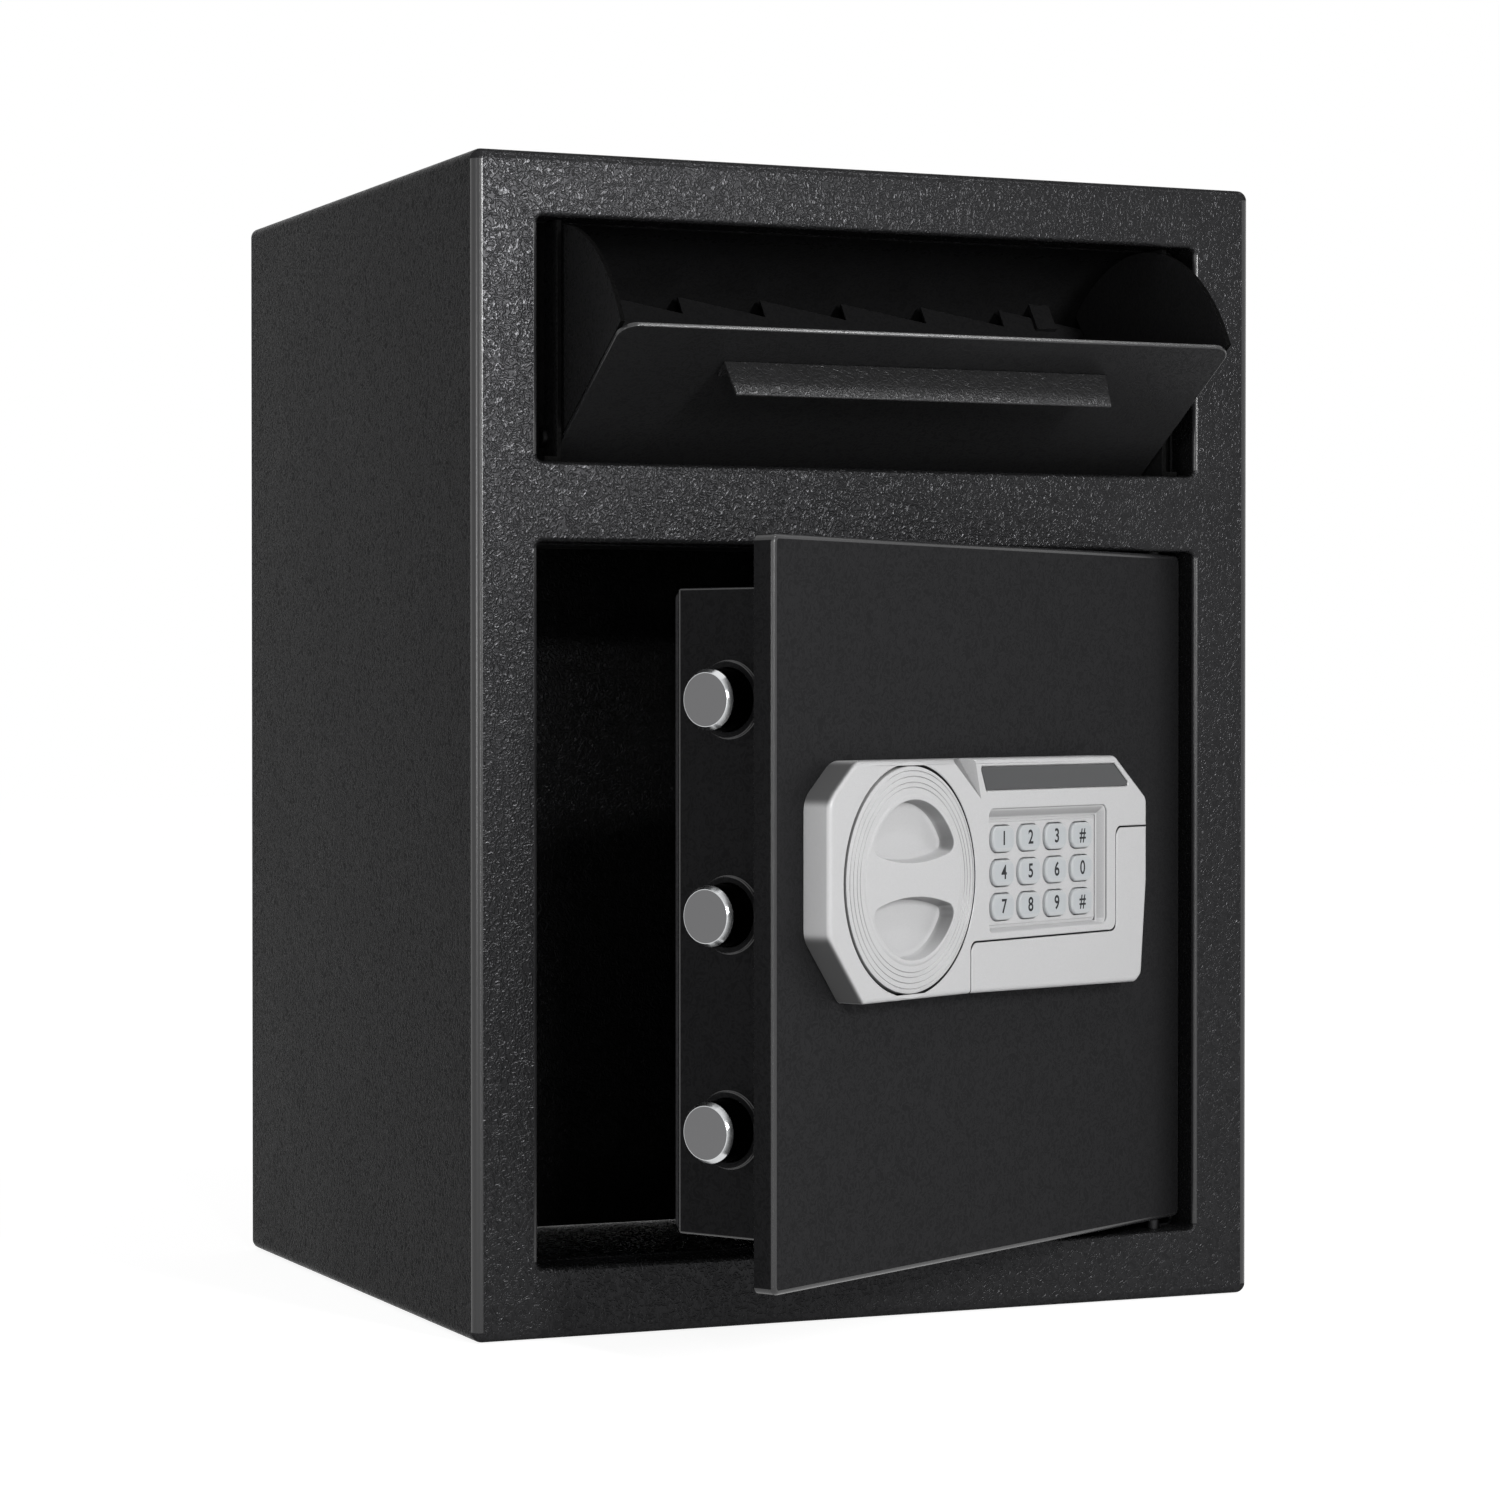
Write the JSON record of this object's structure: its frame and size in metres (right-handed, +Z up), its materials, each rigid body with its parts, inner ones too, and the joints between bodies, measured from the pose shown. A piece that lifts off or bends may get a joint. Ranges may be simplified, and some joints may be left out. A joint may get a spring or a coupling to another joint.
{
  "type": "deposit safe",
  "caption": "Steel deposit safe with a tilt-out hopper over a hinged lock door that has a keypad, a rotary knob and sliding bolts.",
  "frame": {"origin": "middle of the floor, on the face the safe stands on", "axes": "+X to the right seen from the front, +Y to the back, +Z up"},
  "size_m": [0.372, 0.4691, 0.5],
  "materials": {
    "powder_coat": "black wrinkle powder coat, satin",
    "powder_coat_smooth": "black powder coat, nearly smooth",
    "zinc_steel": "zinc-plated steel",
    "chrome_steel": "bright chrome-plated steel",
    "silver_plastic": "fine silver metallic paint on moulded plastic",
    "display_window": "dark smoked window",
    "key_plastic": "pale grey moulded plastic with dark digits",
    "board": "green solder mask",
    "black_plastic": "black moulded plastic",
    "battery_wrap": "plain plastic sleeve",
    "brass": "brass"
  },
  "bodies": {
    "cabinet": {"cabinet_wrap": "powder_coat", "front_frame": "powder_coat", "back_panel": "powder_coat", "deposit_shelf": "powder_coat_smooth", "hopper_hood": "powder_coat_smooth", "hopper_side_plate_left": "powder_coat_smooth", "hopper_side_plate_right": "powder_coat_smooth", "hinge_pin_top": "zinc_steel", "hinge_pin_bottom": "zinc_steel"},
    "hopper": {"hopper_panel": "powder_coat_smooth", "hopper_handle": "powder_coat", "hopper_back_plate": "powder_coat_smooth", "hopper_cheek_left": "powder_coat_smooth", "hopper_cheek_right": "powder_coat_smooth", "hopper_pin_left": "zinc_steel", "hopper_pin_right": "zinc_steel"},
    "door": {"door_plate": "powder_coat", "door_pan": "powder_coat", "door_back_cover": "powder_coat", "cover_screw_1": "zinc_steel", "cover_screw_2": "zinc_steel", "cover_screw_3": "zinc_steel", "cover_screw_4": "zinc_steel", "hinge_block_top": "powder_coat", "hinge_block_bottom": "powder_coat", "lock_housing": "silver_plastic", "keypad_plate": "silver_plastic", "display_window": "display_window", "circuit_board": "board", "battery_holder": "black_plastic", "battery_1": "battery_wrap", "battery_2": "battery_wrap", "battery_3": "battery_wrap", "battery_4": "battery_wrap", "key_cylinder": "brass", "solenoid_body": "black_plastic", "plunger_spring": "zinc_steel"},
    "knob": {"lock_knob": "silver_plastic", "knob_spindle": "zinc_steel", "drive_crank": "zinc_steel"},
    "bolt_works": {"bolt_carriage": "zinc_steel", "bolt_top": "chrome_steel", "bolt_middle": "chrome_steel", "bolt_bottom": "chrome_steel"},
    "plunger": {"solenoid_plunger": "zinc_steel"},
    "battery_door": {"battery_cover": "silver_plastic"},
    "push_1": {"key_1": "key_plastic"},
    "push_2": {"key_2": "key_plastic"},
    "push_3": {"key_3": "key_plastic"},
    "push_hash_top": {"key_hash_top": "key_plastic"},
    "push_4": {"key_4": "key_plastic"},
    "push_5": {"key_5": "key_plastic"},
    "push_6": {"key_6": "key_plastic"},
    "push_0": {"key_0": "key_plastic"},
    "push_7": {"key_7": "key_plastic"},
    "push_8": {"key_8": "key_plastic"},
    "push_9": {"key_9": "key_plastic"},
    "push_hash_bottom": {"key_hash_bottom": "key_plastic"}
  },
  "joints": [
    {"name": "door_swing", "type": "hinge", "parent": "cabinet", "child": "door", "pos_m": [0.14395, -0.1495, 0.18315], "axis": [0, 0, 1], "range_deg": [-30, 75]},
    {"name": "hopper_tilt", "type": "hinge", "parent": "cabinet", "child": "hopper", "pos_m": [0, -0.1405, 0.381], "axis": [1, 0, 0], "range_deg": [-58, 0]},
    {"name": "knob_turn", "type": "hinge", "parent": "door", "child": "knob", "pos_m": [-0.04952, -0.2612, 0.1965], "axis": [-0.5, 0.866, 0], "range_deg": [0, 90]},
    {"name": "bolt_throw", "type": "slide", "parent": "door", "child": "bolt_works", "axis": [-0.866, -0.5, 0], "range_m": [0, 0.02]},
    {"name": "plunger_release", "type": "slide", "parent": "door", "child": "plunger", "axis": [0, 0, 1], "range_m": [0, 0.0035], "stiffness_N_per_m": 200, "deforming": ["plunger_spring"]},
    {"name": "battery_cover_slide", "type": "slide", "parent": "door", "child": "battery_door", "axis": [0.866, 0.5, 0], "range_m": [0, 0.014]},
    {"name": "press_1", "type": "slide", "parent": "door", "child": "push_1", "axis": [-0.5, 0.866, 0], "range_m": [0, 0.0012], "stiffness_N_per_m": 400, "springref_m": -0.0006},
    {"name": "press_2", "type": "slide", "parent": "door", "child": "push_2", "axis": [-0.5, 0.866, 0], "range_m": [0, 0.0012], "stiffness_N_per_m": 400, "springref_m": -0.0006},
    {"name": "press_3", "type": "slide", "parent": "door", "child": "push_3", "axis": [-0.5, 0.866, 0], "range_m": [0, 0.0012], "stiffness_N_per_m": 400, "springref_m": -0.0006},
    {"name": "press_hash_top", "type": "slide", "parent": "door", "child": "push_hash_top", "axis": [-0.5, 0.866, 0], "range_m": [0, 0.0012], "stiffness_N_per_m": 400, "springref_m": -0.0006},
    {"name": "press_4", "type": "slide", "parent": "door", "child": "push_4", "axis": [-0.5, 0.866, 0], "range_m": [0, 0.0012], "stiffness_N_per_m": 400, "springref_m": -0.0006},
    {"name": "press_5", "type": "slide", "parent": "door", "child": "push_5", "axis": [-0.5, 0.866, 0], "range_m": [0, 0.0012], "stiffness_N_per_m": 400, "springref_m": -0.0006},
    {"name": "press_6", "type": "slide", "parent": "door", "child": "push_6", "axis": [-0.5, 0.866, 0], "range_m": [0, 0.0012], "stiffness_N_per_m": 400, "springref_m": -0.0006},
    {"name": "press_0", "type": "slide", "parent": "door", "child": "push_0", "axis": [-0.5, 0.866, 0], "range_m": [0, 0.0012], "stiffness_N_per_m": 400, "springref_m": -0.0006},
    {"name": "press_7", "type": "slide", "parent": "door", "child": "push_7", "axis": [-0.5, 0.866, 0], "range_m": [0, 0.0012], "stiffness_N_per_m": 400, "springref_m": -0.0006},
    {"name": "press_8", "type": "slide", "parent": "door", "child": "push_8", "axis": [-0.5, 0.866, 0], "range_m": [0, 0.0012], "stiffness_N_per_m": 400, "springref_m": -0.0006},
    {"name": "press_9", "type": "slide", "parent": "door", "child": "push_9", "axis": [-0.5, 0.866, 0], "range_m": [0, 0.0012], "stiffness_N_per_m": 400, "springref_m": -0.0006},
    {"name": "press_hash_bottom", "type": "slide", "parent": "door", "child": "push_hash_bottom", "axis": [-0.5, 0.866, 0], "range_m": [0, 0.0012], "stiffness_N_per_m": 400, "springref_m": -0.0006}
  ],
  "couplings": [
    {"joint": "bolt_throw", "follows": "knob_turn", "m_per_rad": 0.01273}
  ]
}
